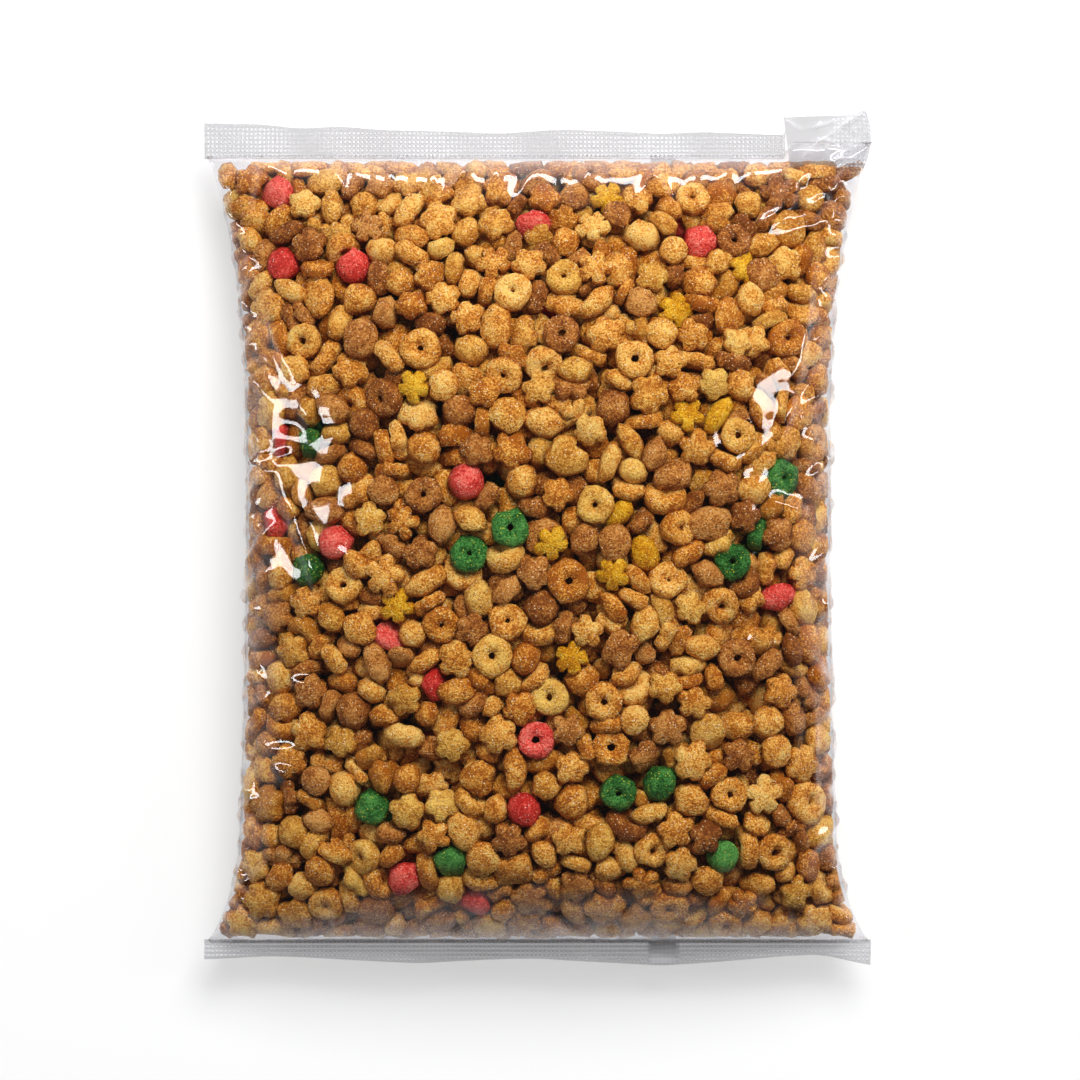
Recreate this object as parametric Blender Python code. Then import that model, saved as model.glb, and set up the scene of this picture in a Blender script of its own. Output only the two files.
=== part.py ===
"""A clear film pillow bag of dry pet food, lying on its back.

X runs across the bag, Y along it towards the top seal, and Z up from the floor.
The origin is on the floor, under the middle of the bag's box.
Sizes are written in millimetres, and MM turns them into metres.
"""

import math
import random

import bmesh
import bpy
import numpy as np
from mathutils import Matrix, Vector, geometry

MM = 0.001

# The film tube and its welds
FLAT_WIDTH = 234.0
BAG_LENGTH = 296.0
FILM = 0.12
WELD_GAP = 0.13
TOP_SEAL = 11.0
BOTTOM_SEAL = 9.0
FIN_WIDTH = 9.0
FIN_X = 39.5
SEAL_WAVE = 1.6
WAVE_LENGTH = 68.0

# How far the fill swells the tube
FILL_DEPTH = 64.0
BASE_DEPTH = 52.0
BASE_REACH = 150.0
TOP_REACH = 100.0
BOTTOM_REACH = 40.0
SEAL_HEIGHT = 19.0
TOP_LIFT_REACH = 55.0
BOTTOM_LIFT_REACH = 34.0
CREASE_HEIGHT = 27.0
FLOOR_PRESS = 3.0
FRONT_ROUNDNESS = 2.3
BACK_ROUNDNESS = 3.2

# How far the film stands out in puckers below the seals and in buckles down the sides
PUCKER_HEIGHT = 1.6
PUCKER_LENGTH = 46.0
PUCKER_REACH = 15.0
BUCKLE_HEIGHT = 1.5
BUCKLE_REACH = 13.0

# The corner of the top seal that is folded up
FOLD_WIDTH = 31.0
FOLD_STEP = 2.0
FOLD_RISE = 4.4
FOLD_LIFT = 5.0
FOLD_REACH = 14.0

# The kibble shapes
RING_DIAMETER = 13.6
RING_THICKNESS = 6.0
RING_HOLE = 2.6
ROUND_DIAMETER = 13.0
ROUND_THICKNESS = 7.2
STAR_DIAMETER = 13.2
STAR_THICKNESS = 5.6
FLOWER_DIAMETER = 13.4
FLOWER_THICKNESS = 4.6
HEART_DIAMETER = 16.6
HEART_THICKNESS = 7.0
OVAL_LENGTH = 17.0
OVAL_WIDTH = 13.0
OVAL_THICKNESS = 6.4

# How the kibbles lie
LUMP_PITCH = 20.0
BACK_PITCH = 26.0
LUMP_SHARE = 0.47
LUMP_JITTER = 0.2
LUMP_SHRINK = 3.4
LUMP_HEIGHT = 8.0
FILM_CLEAR = 1.15
SEAT_GAP = 0.3
EDGE_ROOM = 0.6
CORNER_ROOM = 1.2
END_CLEAR = 3.0
SIDE_WRAP = 26.0
SEED = 11

# Places of the single kibbles: millimetres right of and above the middle of the box
RED_ROUNDS = [
    (-91, 123), (-88, 94), (-65, 96), (-25, 20), (-47, -119), (-22, -128), (-5, -93),
    (-72, -2), (57, 105),
]
RED_RINGS = [(-1, -67)]
GREEN_RINGS = [(-9, 4), (-24, -5), (86, 22), (68, -8), (28, -86)]
GREEN_ROUNDS = [(-30, -112), (-81, -10), (-58, -93), (65, -110), (42, -84)]
YELLOW_FLOWERS = [
    (24, 120), (-43, 53), (54, 45), (26, -12), (4, -1), (10, -43), (-49, -23), (71, 92),
]
TAN_RINGS = [
    (9, 92), (-12, 58), (20, 12), (49, 4), (45, -14), (70, 36), (-33, -30), (-10, -28),
    (-68, -16), (64, -22), (5, -53), (25, -73), (-61, -110), (39, -108), (67, -88),
    (-82, 71),
]
TAN_STARS = [
    (39, 92), (55, 72), (18, 38), (63, 53), (-58, 8), (-46, -55), (-69, -69), (-29, -71),
    (12, -78), (-33, -91),
]
HEARTS = [(67, 80), (-20, -84)]
OVALS = [(-79, 87), (-15, 74)]

# Colours as the eye sees them, red, green and blue
FILM_CLEAR_GREY = (0.86, 0.88, 0.90)
TAN = (0.66, 0.43, 0.21)
RED = (0.80, 0.22, 0.20)
GREEN = (0.13, 0.36, 0.15)
YELLOW = (0.74, 0.52, 0.10)
BROWN = (0.60, 0.37, 0.18)

TOP_EDGE = BAG_LENGTH / 2 - FOLD_RISE / 2
BOTTOM_EDGE = TOP_EDGE - BAG_LENGTH
TOP_ROOT = TOP_EDGE - TOP_SEAL
BOTTOM_ROOT = BOTTOM_EDGE + BOTTOM_SEAL
HALF_WIDTH = FLAT_WIDTH / 2
FOLD_START = HALF_WIDTH - FOLD_WIDTH
LAYER = FILM + WELD_GAP
CURVE_POINTS = 61
NET_STEPS = (0.0, 2.0, 7.0, 15.0, 27.0, 44.0)
NET_PITCH = 24.0


def clear_scene():
    for old in list(bpy.data.objects):
        bpy.data.objects.remove(old, do_unlink=True)


def linear(colour):
    """The colour as light, which is what a shader takes."""
    return [c / 12.92 if c < 0.04045 else ((c + 0.055) / 1.055) ** 2.4 for c in colour]


def material(name, colour, roughness, alpha=1.0):
    made = bpy.data.materials.new(name)
    made.use_nodes = True
    shader = made.node_tree.nodes["Principled BSDF"]
    shader.inputs["Base Color"].default_value = (*linear(colour), 1.0)
    shader.inputs["Roughness"].default_value = roughness
    shader.inputs["Metallic"].default_value = 0.0
    shader.inputs["Alpha"].default_value = alpha
    return made


def add_object(name, bm, finish):
    """An object that takes its mesh, in millimetres, from bm."""
    bmesh.ops.scale(bm, vec=(MM, MM, MM), verts=bm.verts)
    mesh = bpy.data.meshes.new(name)
    bm.to_mesh(mesh)
    bm.free()
    mesh.materials.append(finish)
    placed = bpy.data.objects.new(name, mesh)
    bpy.context.scene.collection.objects.link(placed)
    return placed


# The pillow: what the film does between its two end seals

def rise(distance, reach):
    """A quarter of an ellipse: 0 at a seal, and 1 from reach onwards."""
    left = max(0.0, 1.0 - max(0.0, distance) / reach)
    return math.sqrt(1.0 - left * left)


def depth_at(y):
    """The bag's thickness, which falls to nothing at the roots of both seals."""
    above = y - BOTTOM_ROOT
    share = min(1.0, max(0.0, above / BASE_REACH))
    full = BASE_DEPTH + (FILL_DEPTH - BASE_DEPTH) * math.sin(share * math.pi / 2)
    return full * rise(TOP_ROOT - y, TOP_REACH) * rise(above, BOTTOM_REACH)


def base_height_at(y):
    """How far the bag's underside lies above the floor, before the floor stops it."""
    top = 1.0 - rise(TOP_ROOT - y, TOP_LIFT_REACH)
    bottom = 1.0 - rise(y - BOTTOM_ROOT, BOTTOM_LIFT_REACH)
    return SEAL_HEIGHT * max(top, bottom)


def half_section(across, low, high, side, roundness):
    """Heights of a superellipse from the side crease's height to low or high."""
    reach = (1.0 - np.abs(across) ** roundness) ** (1.0 / roundness)
    return side + (high - side if high > side else low - side) * reach


def section(y, half_width):
    """The film's middle line at y: its back and its front, each from left to right."""
    depth = depth_at(y)
    base = base_height_at(y)
    swell = depth / FILL_DEPTH
    side = base + CREASE_HEIGHT * swell
    across = -np.cos(np.linspace(0.0, math.pi, CURVE_POINTS))
    low = base - FLOOR_PRESS * swell
    back = half_section(across, low, low, side, BACK_ROUNDNESS)
    back = np.maximum(back, FILM / 2)
    front = half_section(across, base + depth, base + depth, side, FRONT_ROUNDNESS)
    x = across * half_width
    return np.stack([x, back], axis=1), np.stack([x, front], axis=1)


def length_of(line):
    return np.linalg.norm(np.diff(line, axis=0), axis=1).sum()


def half_width_at(y):
    """Half the bag's width at y: the film doesn't stretch, so its girth stays the same."""
    low, high = 0.3 * HALF_WIDTH, HALF_WIDTH
    for _ in range(24):
        middle = (low + high) / 2
        girth = sum(length_of(line) for line in section(y, middle))
        low, high = (middle, high) if girth < 2 * FLAT_WIDTH else (low, middle)
    return high


def net_columns():
    """Flat positions across the film, closer together near the side creases."""
    spread = np.linspace(-1.0, 1.0, 15)
    even = HALF_WIDTH * (0.45 * spread + 0.55 * np.sin(spread * math.pi / 2))
    fin = [FIN_X - 2.0, FIN_X, FIN_X + FIN_WIDTH, FIN_X + FIN_WIDTH + 2.0]
    fold = [FOLD_START, FOLD_START + FOLD_STEP]
    kept = [x for x in even if all(abs(x - c) > 4.0 for c in fin + fold)]
    return np.array(sorted([*kept, *fin, *fold]))


def net_rows():
    """Places along the filled part, closer together near the seals."""
    near = np.array(NET_STEPS)
    from_bottom = BOTTOM_ROOT + near
    from_top = TOP_ROOT - near[::-1] * 1.3
    count = max(2, round((from_top[0] - from_bottom[-1]) / NET_PITCH) + 1)
    between = np.linspace(from_bottom[-1], from_top[0], count)[1:-1]
    return np.concatenate([from_bottom, between, from_top])


def crumple(flat, y, rows):
    """How far the front film stands out: puckers near both seals, buckles near both sides."""
    from_seal = min(TOP_ROOT - y, y - BOTTOM_ROOT)
    from_side = HALF_WIDTH - np.abs(flat)
    pucker = np.cos(2 * math.pi * flat / PUCKER_LENGTH) * from_seal / PUCKER_REACH
    pucker = pucker * math.exp(1.0 - from_seal / PUCKER_REACH) * np.minimum(1.0, from_side / 40.0)
    middle = len(rows) // 2
    buckle = math.cos(math.pi * (y - rows[middle]) / (rows[middle + 1] - rows[middle]))
    buckle = buckle * from_side / BUCKLE_REACH * np.exp(1.0 - from_side / BUCKLE_REACH)
    return PUCKER_HEIGHT * pucker + BUCKLE_HEIGHT * buckle * min(1.0, from_seal / 50.0)


def net_of_film(columns, rows):
    """The x and z of each net point, for the back and for the front."""
    net = np.empty((2, len(rows), len(columns), 2))
    for r, y in enumerate(rows):
        for side, line in enumerate(section(y, half_width_at(y))):
            steps = np.linalg.norm(np.diff(line, axis=0), axis=1)
            along = np.concatenate([[0.0], np.cumsum(steps)])
            flat = (along / along[-1] - 0.5) * FLAT_WIDTH
            net[side, r, :, 0] = np.interp(columns, flat, line[:, 0])
            net[side, r, :, 1] = np.interp(columns, flat, line[:, 1])
        front = net[1, r]
        outward = front - np.array([0.0, front[0, 1] - 1.0])
        outward /= np.linalg.norm(outward, axis=1, keepdims=True)
        front += outward * crumple(columns, y, rows)[:, None]
    return net


COLUMNS = net_columns()
ROWS = net_rows()
NET = net_of_film(COLUMNS, ROWS)


def row_points(y, front):
    """The net's x and z across the bag at y."""
    place = np.interp(y, ROWS, np.arange(len(ROWS)))
    low = min(int(place), len(ROWS) - 2)
    share = place - low
    side = NET[int(front)]
    return side[low] * (1.0 - share) + side[low + 1] * share


def clamp(value):
    return min(1.0, max(0.0, value))


def seal_shift(flat, y):
    """How the end seals wave, and how the folded corner of the top one is lifted."""
    past = max(y - TOP_ROOT, BOTTOM_ROOT - y, 0.0)
    share = past / (TOP_SEAL if y > 0 else BOTTOM_SEAL)
    wave = SEAL_WAVE * share * math.sin(flat / WAVE_LENGTH * 2 * math.pi + 0.6)
    inward = abs(wave) * (-0.5 if y > 0 else 0.5)
    into = clamp((flat - FOLD_START) / FOLD_STEP) * clamp((y - TOP_ROOT) / FOLD_REACH + 1.0)
    return Vector((0.0, inward + FOLD_RISE * into, wave + FOLD_LIFT * into))


def film_point(flat, y, front):
    """Where the film's middle lies: flat is millimetres right of its middle, laid flat."""
    points = row_points(y, front)
    x, z = (np.interp(flat, COLUMNS, points[:, i]) for i in range(2))
    return Vector((float(x), y, float(z))) + seal_shift(flat, y)


def flat_at(x, y):
    """The flat position of the front film point that lies x millimetres right of the middle."""
    return float(np.interp(x, row_points(y, True)[:, 0], COLUMNS))


# A place on the closed pillow is (around, y): around runs from the left crease over the
# front to the right crease, and on under the back to the left crease again.

def pillow_point(around, y):
    around = around % (2 * FLAT_WIDTH)
    if around <= FLAT_WIDTH:
        return film_point(around - HALF_WIDTH, y, True)
    return film_point(HALF_WIDTH - (around - FLAT_WIDTH), y, False)


def outward_at(around, y, step=4.0):
    """The direction straight out of the film."""
    low, high = max(y - step, BOTTOM_ROOT + 0.2), min(y + step, TOP_ROOT - 0.2)
    along = pillow_point(around, high) - pillow_point(around, low)
    across = pillow_point(around + step, y) - pillow_point(around - step, y)
    return across.cross(along).normalized()


def below_film(around, y, inset):
    """The point inset millimetres inside the middle of the film."""
    outward = outward_at(around, y)
    return pillow_point(around, y) - outward * inset


def build_film():
    """One sheet of film wrapped round, its two edges lying together in the back fin."""
    rows = [BOTTOM_EDGE, *ROWS, TOP_EDGE]

    def on_fin(x):
        return FIN_X - 0.5 < x < FIN_X + FIN_WIDTH + 0.5

    def back(x, layers):
        return film_point(x, y, False) + Vector((0.0, 0.0, layers * LAYER))

    def front(x):
        """The front, at least one layer above whatever lies under it."""
        point = film_point(x, y, True)
        under = back(x, 3 if on_fin(x) else 1)
        return Vector((point.x, point.y, max(point.z, under.z)))

    bm = bmesh.new()
    grid = []
    for y in rows:
        fin = [FIN_X + FIN_WIDTH, FIN_X]
        left_back = [x for x in COLUMNS[::-1] if x < FIN_X]
        right_back = [x for x in COLUMNS[::-1] if x > FIN_X]
        points = [back(x, 0) for x in fin]
        points += [back(x, 0) for x in left_back]
        points += [front(x) for x in COLUMNS]
        points += [back(x, 2 if on_fin(x) else 0) for x in right_back]
        points += [back(FIN_X, 2), back(FIN_X, 1), back(FIN_X + FIN_WIDTH, 1)]
        grid.append([bm.verts.new(point) for point in points])
    for low, high in zip(grid, grid[1:]):
        for i in range(len(low) - 1):
            bm.faces.new((low[i], high[i], high[i + 1], low[i + 1]))
    film = add_object("film_bag", bm, material("clear_film", FILM_CLEAR_GREY, 0.08, 0.25))
    wall = film.modifiers.new("film thickness", "SOLIDIFY")
    wall.thickness = FILM * MM
    wall.offset = 0.0
    return film


# The kibble shapes, each lying flat with its middle at the origin

def prism(outline, thickness, edge=0.8):
    """A flat biscuit cut to an outline, with its upper and lower rims drawn in by edge."""
    bm = bmesh.new()
    widest = max(math.hypot(x, y) for x, y in outline)
    rings = []
    for height, shrink in ((-0.5, edge), (0.0, 0.0), (0.5, edge)):
        scale = 1.0 - shrink / widest
        rings.append([bm.verts.new((x * scale, y * scale, height * thickness)) for x, y in outline])
    count = len(outline)
    for low, high in zip(rings, rings[1:]):
        for i in range(count):
            j = (i + 1) % count
            bm.faces.new((low[i], low[j], high[j], high[i]))
    bm.faces.new(list(reversed(rings[0])))
    bm.faces.new(rings[-1])
    return bm


def circle(diameter, corners, turn=0.0):
    angles = [turn + 2 * math.pi * i / corners for i in range(corners)]
    return [(diameter / 2 * math.cos(a), diameter / 2 * math.sin(a)) for a in angles]


def ring_kibble():
    """A thick washer, spun from the profile of its wall."""
    bm = bmesh.new()
    outer, inner, half = RING_DIAMETER / 2, RING_HOLE / 2, RING_THICKNESS / 2
    profile = [(inner, -half), (outer - 1.2, -half), (outer, 0.0), (outer - 1.2, half), (inner, half)]
    verts = [bm.verts.new((x, 0.0, z)) for x, z in profile]
    edges = [bm.edges.new((a, b)) for a, b in zip(verts, verts[1:] + verts[:1])]
    bmesh.ops.spin(
        bm, geom=verts + edges, cent=(0, 0, 0), axis=(0, 0, 1), angle=2 * math.pi, steps=8
    )
    bmesh.ops.remove_doubles(bm, verts=bm.verts, dist=0.01)
    bmesh.ops.recalc_face_normals(bm, faces=bm.faces)
    return bm


def round_kibble():
    return prism(circle(ROUND_DIAMETER, 8), ROUND_THICKNESS, 2.2)


def star_kibble():
    outline = []
    for i in range(10):
        radius = STAR_DIAMETER / 2 * (1.0 if i % 2 == 0 else 0.74)
        angle = math.pi * i / 5
        outline.append((radius * math.cos(angle), radius * math.sin(angle)))
    return prism(outline, STAR_THICKNESS)


def flower_kibble():
    """Five round petals: each has two corners, with a notch between petals."""
    outline = []
    for petal in range(5):
        for offset, share in ((-0.34, 0.94), (0.34, 0.94), (math.pi / 5, 0.5)):
            angle = 2 * math.pi * petal / 5 + offset
            radius = FLOWER_DIAMETER / 2 * share
            outline.append((radius * math.cos(angle), radius * math.sin(angle)))
    return prism(outline, FLOWER_THICKNESS, 0.6)


def heart_kibble():
    """The heart curve x = sin^3, y = 13 cos - 5 cos 2 - 2 cos 3 - cos 4, on 12 corners."""
    outline = []
    for i in range(12):
        t = -2 * math.pi * (i + 0.5) / 12
        x = 16 * math.sin(t) ** 3
        y = 13 * math.cos(t) - 5 * math.cos(2 * t) - 2 * math.cos(3 * t) - math.cos(4 * t)
        outline.append((x * HEART_DIAMETER / 34, (y + 2.0) * HEART_DIAMETER / 34))
    return prism(outline, HEART_THICKNESS, 1.4)


def oval_kibble():
    outline = [(x * OVAL_LENGTH, y * OVAL_WIDTH) for x, y in circle(1.0, 10)]
    return prism(outline, OVAL_THICKNESS, 1.6)


class Kind:
    """A kibble shape: its mesh, how wide and thick it is, its colour and its places."""

    def __init__(self, name, shape, width, thickness, finish, places):
        self.name = name
        self.shape = shape
        self.radius = width / 2 + EDGE_ROOM
        self.thickness = thickness
        self.finish = finish
        self.places = places


def kinds():
    tan = material("tan_kibble", TAN, 0.75)
    red = material("red_kibble", RED, 0.7)
    green = material("green_kibble", GREEN, 0.7)
    yellow = material("yellow_kibble", YELLOW, 0.7)
    ring = ring_kibble, RING_DIAMETER, RING_THICKNESS
    disc = round_kibble, ROUND_DIAMETER, ROUND_THICKNESS
    return [
        Kind("red_round", *disc, red, RED_ROUNDS),
        Kind("red_ring", *ring, red, RED_RINGS),
        Kind("green_ring", *ring, green, GREEN_RINGS),
        Kind("green_round", *disc, green, GREEN_ROUNDS),
        Kind("yellow_flower", flower_kibble, FLOWER_DIAMETER, FLOWER_THICKNESS, yellow, YELLOW_FLOWERS),
        Kind("tan_ring", *ring, tan, TAN_RINGS),
        Kind("tan_star", star_kibble, STAR_DIAMETER, STAR_THICKNESS, tan, TAN_STARS),
        Kind("tan_heart", heart_kibble, HEART_DIAMETER, HEART_THICKNESS, tan, HEARTS),
        Kind("tan_oval", oval_kibble, OVAL_LENGTH, OVAL_THICKNESS, tan, OVALS),
    ]


class Seat:
    """A place on the pillow for one kibble or one lump of the bed."""

    def __init__(self, around, y, radius, kind=None, index=0):
        self.around = around
        self.y = y
        self.radius = radius
        self.kind = kind
        self.index = index


def apart(a, b):
    """From a to b, the short way round the pillow."""
    around = (b.around - a.around + FLAT_WIDTH) % (2 * FLAT_WIDTH) - FLAT_WIDTH
    return around, b.y - a.y


def spread_out(seats, rounds, low, high):
    """Moves seats that crowd each other apart; a single kibble moves far less than a lump."""
    for _ in range(rounds):
        for i, a in enumerate(seats):
            for b in seats[i + 1:]:
                wanted = a.radius + b.radius + 2 * SEAT_GAP
                if abs(b.y - a.y) > wanted:
                    continue
                dx, dy = apart(a, b)
                gap = math.hypot(dx, dy)
                if gap >= wanted or gap == 0.0:
                    continue
                pull_a = 0.04 if a.kind and not b.kind else 0.5
                pull_b = 0.04 if b.kind and not a.kind else 0.5
                push = (wanted - gap) / gap / (pull_a + pull_b)
                a.around -= dx * push * pull_a
                a.y -= dy * push * pull_a
                b.around += dx * push * pull_b
                b.y += dy * push * pull_b
        for seat in seats:
            seat.y = min(max(seat.y, low + seat.radius * 0.8), high - seat.radius * 0.8)


def lattice(start, end, pitch, low, high, dice):
    """Lumps in staggered rows between two places round the pillow."""
    columns = round((end - start) / pitch)
    rows = round((high - low) / (pitch * math.sqrt(0.75)))
    lumps = []
    for row in range(rows):
        for column in range(columns):
            moved_x, moved_y = (dice.uniform(-LUMP_JITTER, LUMP_JITTER) for _ in range(2))
            place = column + 0.25 + 0.5 * (row % 2) + moved_x
            around = start + place * (end - start) / columns
            y = low + (row + 0.5 + moved_y) * (high - low) / rows
            lumps.append(Seat(around, y, LUMP_SHARE * pitch))
    return lumps


def lay_out_seats(all_kinds, low, high):
    """The single kibbles at their places, and lumps between them, larger ones on the back."""
    dice = random.Random(SEED)
    seats = []
    for kind in all_kinds:
        for index, (x, y) in enumerate(kind.places):
            around = flat_at(x, y) + HALF_WIDTH
            seats.append(Seat(around, y, kind.radius, kind, index))
    singles = list(seats)
    lumps = lattice(-SIDE_WRAP, FLAT_WIDTH + SIDE_WRAP, LUMP_PITCH, low, high, dice)
    lumps += lattice(FLAT_WIDTH + SIDE_WRAP, 2 * FLAT_WIDTH - SIDE_WRAP, BACK_PITCH, low, high, dice)
    for lump in lumps:
        if all(math.hypot(*apart(lump, s)) > s.radius + 0.8 * lump.radius for s in singles):
            seats.append(lump)
    spread_out(seats, 60, low, high)
    return seats


def on_back(around):
    """0 on the front and the sides, and 1 where the pillow lies on the floor."""
    into = min(around % (2 * FLAT_WIDTH) - FLAT_WIDTH, 2 * FLAT_WIDTH - around % (2 * FLAT_WIDTH))
    return min(1.0, max(0.0, (into - SIDE_WRAP) / LUMP_PITCH))


def top_inset(around, y):
    """How far inside the film's middle line a kibble's highest points lie."""
    rest = FILM / 2 + 2 * LAYER + SEAT_GAP
    return FILM_CLEAR + (rest - FILM_CLEAR) * on_back(around)


def valley_inset(around, y):
    """How far inside the film the grooves between lumps lie."""
    return top_inset(around, y) + min(LUMP_HEIGHT, 0.25 * depth_at(y))


def build_bed(seats, low, high):
    """The mass of tan kibbles: one cell for each seat, raised as a lump or left as a seat."""
    ghosts = []
    count = round(2 * FLAT_WIDTH / LUMP_PITCH)
    for i in range(count):
        around = (i + 0.25) * 2 * FLAT_WIDTH / count
        ghosts.append((around, low - 0.55 * LUMP_PITCH))
        ghosts.append((around, high + 0.55 * LUMP_PITCH))
    places = [(s.around % (2 * FLAT_WIDTH), s.y) for s in seats] + ghosts
    copies, owner = [], []
    for turn in (-1, 0, 1):
        for i, (around, y) in enumerate(places):
            copies.append(Vector((around + turn * 2 * FLAT_WIDTH, y)))
            owner.append((i, turn))
    _, _, triangles, originals, _, _ = geometry.delaunay_2d_cdt(copies, [], [], 0, 1e-6)

    bm = bmesh.new()
    corners = {}
    spokes = {i: [] for i in range(len(seats))}

    def corner(key, members):
        """The cell corner in the middle of three neighbouring seats."""
        if key not in corners:
            around = sum(copies[m].x for m in members) / 3
            y = sum(copies[m].y for m in members) / 3
            for m in members:
                seat = seats[owner[m][0]] if owner[m][0] < len(seats) else None
                if seat is None:
                    y = high if copies[m].y > high else low
                elif seat.kind:
                    away = Vector((around, y)) - copies[m]
                    room = CORNER_ROOM * seat.radius
                    if away.length < room:
                        around, y = copies[m] + away * (room / away.length)
            point = below_film(around, y, valley_inset(around, y))
            point.y = min(max(point.y, low), high)
            corners[key] = (bm.verts.new(point), around, y)
        return corners[key]

    for triangle in triangles:
        members = [originals[v][0] for v in triangle]
        key = tuple(sorted(owner[m][0] for m in members))
        for m in members:
            seat, turn = owner[m]
            if turn != 0 or seat >= len(seats):
                continue
            centre = sum((copies[n] for n in members), Vector((0, 0))) / 3
            away = centre - copies[m]
            spokes[seat].append((math.atan2(away.y, away.x), corner(key, members)))

    for seat, around_it in zip(seats, spokes.values()):
        cell = [entry[1] for entry in sorted(around_it, key=lambda s: s[0])]
        rim = [vert for vert, _, _ in cell]
        raised = []
        for _, around, y in cell:
            dx, dy = apart(seat, Seat(around, y, 0.0))
            shrink = 0.35 if seat.kind else LUMP_SHRINK
            keep = max(0.3, 1.0 - shrink / max(math.hypot(dx, dy), 0.1))
            inner_around, inner_y = seat.around + dx * keep, seat.y + dy * keep
            inset = top_inset(inner_around, inner_y)
            if seat.kind:
                inset += seat.kind.thickness + SEAT_GAP
            raised.append(bm.verts.new(below_film(inner_around, inner_y, inset)))
        for i in range(len(rim)):
            j = (i + 1) % len(rim)
            bm.faces.new((rim[i], rim[j], raised[j], raised[i]))
        bm.faces.new(raised)
    bmesh.ops.holes_fill(bm, edges=[e for e in bm.edges if e.is_boundary], sides=0)
    bmesh.ops.recalc_face_normals(bm, faces=bm.faces)
    if bm.calc_volume(signed=True) < 0:
        bmesh.ops.reverse_faces(bm, faces=bm.faces)
    return add_object("kibble_bed", bm, material("brown_kibble", BROWN, 0.75))


def build_singles(seats):
    """Each single kibble on its seat, flat against the film, turned as the dice fall."""
    dice = random.Random(SEED + 1)
    for seat in seats:
        if not seat.kind:
            continue
        kind = seat.kind
        name = f"{kind.name}_kibble_{seat.index + 1:02d}"
        single = add_object(name, kind.shape(), kind.finish)
        inset = top_inset(seat.around, seat.y) + kind.thickness / 2
        single.location = below_film(seat.around, seat.y, inset) * MM
        upright = outward_at(seat.around, seat.y).to_track_quat("Z", "Y").to_matrix()
        spin = Matrix.Rotation(dice.uniform(0.0, 2 * math.pi), 3, "Z")
        single.rotation_euler = (upright @ spin).to_euler()


def main():
    clear_scene()
    build_film()
    low, high = BOTTOM_ROOT + END_CLEAR, TOP_ROOT - END_CLEAR
    seats = lay_out_seats(kinds(), low, high)
    build_bed(seats, low, high)
    build_singles(seats)


main()
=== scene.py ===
# %% [markdown]
# # A clear bag of dry pet food
#
# The real thing is a tube of thin clear film, welded flat across both ends, and filled with
# some three thousand small baked kibbles. Everything that makes it look real follows from that:
# the kibbles lie the way loose things pack, and the film lies the way they let it.
# So this lesson makes the fill first, as loose bodies that push each other and the film,
# and then makes the film over what it holds.
#
# The scene starts from the solid model, whose box and nodes give every size and place.

# %% Load the frame
import math

import bpy
import numpy as np
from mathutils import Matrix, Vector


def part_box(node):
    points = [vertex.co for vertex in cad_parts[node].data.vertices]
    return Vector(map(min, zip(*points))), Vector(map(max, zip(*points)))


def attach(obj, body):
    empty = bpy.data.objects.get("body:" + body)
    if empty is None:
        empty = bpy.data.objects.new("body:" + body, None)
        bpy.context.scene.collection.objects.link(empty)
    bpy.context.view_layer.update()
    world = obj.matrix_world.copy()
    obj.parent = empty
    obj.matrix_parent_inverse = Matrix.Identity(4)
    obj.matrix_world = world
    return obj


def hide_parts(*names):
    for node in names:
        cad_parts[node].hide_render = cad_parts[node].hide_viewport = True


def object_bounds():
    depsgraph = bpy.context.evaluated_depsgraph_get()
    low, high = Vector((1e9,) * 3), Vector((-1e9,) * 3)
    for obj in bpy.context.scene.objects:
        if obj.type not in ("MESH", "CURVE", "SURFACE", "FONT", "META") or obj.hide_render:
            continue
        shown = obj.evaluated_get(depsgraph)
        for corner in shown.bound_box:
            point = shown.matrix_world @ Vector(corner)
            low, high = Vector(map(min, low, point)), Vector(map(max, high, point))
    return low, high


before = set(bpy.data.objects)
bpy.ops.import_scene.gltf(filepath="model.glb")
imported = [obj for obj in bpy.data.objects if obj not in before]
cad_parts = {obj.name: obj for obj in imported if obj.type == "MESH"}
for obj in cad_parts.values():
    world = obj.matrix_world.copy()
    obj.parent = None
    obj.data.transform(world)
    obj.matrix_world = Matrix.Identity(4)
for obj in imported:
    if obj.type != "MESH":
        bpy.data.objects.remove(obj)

MM = 0.001
cad_low, cad_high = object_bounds()
print("box of the solids, mm:", [round(v / MM, 1) for v in (*cad_low, *cad_high)])

# %% [markdown]
# ## The tube
#
# Film doesn't stretch. Laid flat, the bag is a tube of one width from end to end, and where the
# fill swells it, it gets narrower, because the way round it stays the same. A cross-section of
# the filled tube is close to a superellipse: flatter where it lies on the table, rounder on top.
# The solid model uses the same rule, so the two fit each other.
# It would also be possible to inflate a flat bag with a cloth simulation, but a formula gives
# the same outline every time and can be asked for the distance to the film at any point.

# %% The sizes of the tube, in millimetres
FILM = 0.12
FLAT_WIDTH = (cad_high.x - cad_low.x) / MM - FILM
HALF_WIDTH = FLAT_WIDTH / 2
GIRTH = 2 * FLAT_WIDTH
FILL_DEPTH = cad_high.z / MM - FILM / 2
FOLD_RISE = 4.4
TOP_EDGE = cad_high.y / MM - FOLD_RISE
BOTTOM_EDGE = cad_low.y / MM
TOP_SEAL = 11.0
BOTTOM_SEAL = 9.0
TOP_ROOT = TOP_EDGE - TOP_SEAL
BOTTOM_ROOT = BOTTOM_EDGE + BOTTOM_SEAL
SEAL_HEIGHT = 19.0
BASE_DEPTH = 52.0
BASE_REACH = 150.0
TOP_REACH, BOTTOM_REACH = 100.0, 40.0
TOP_LIFT_REACH, BOTTOM_LIFT_REACH = 55.0, 34.0
CREASE_HEIGHT = 27.0
FLOOR_PRESS = 3.0
FRONT_ROUNDNESS = 2.3
BACK_ROUNDNESS = 3.2
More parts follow.
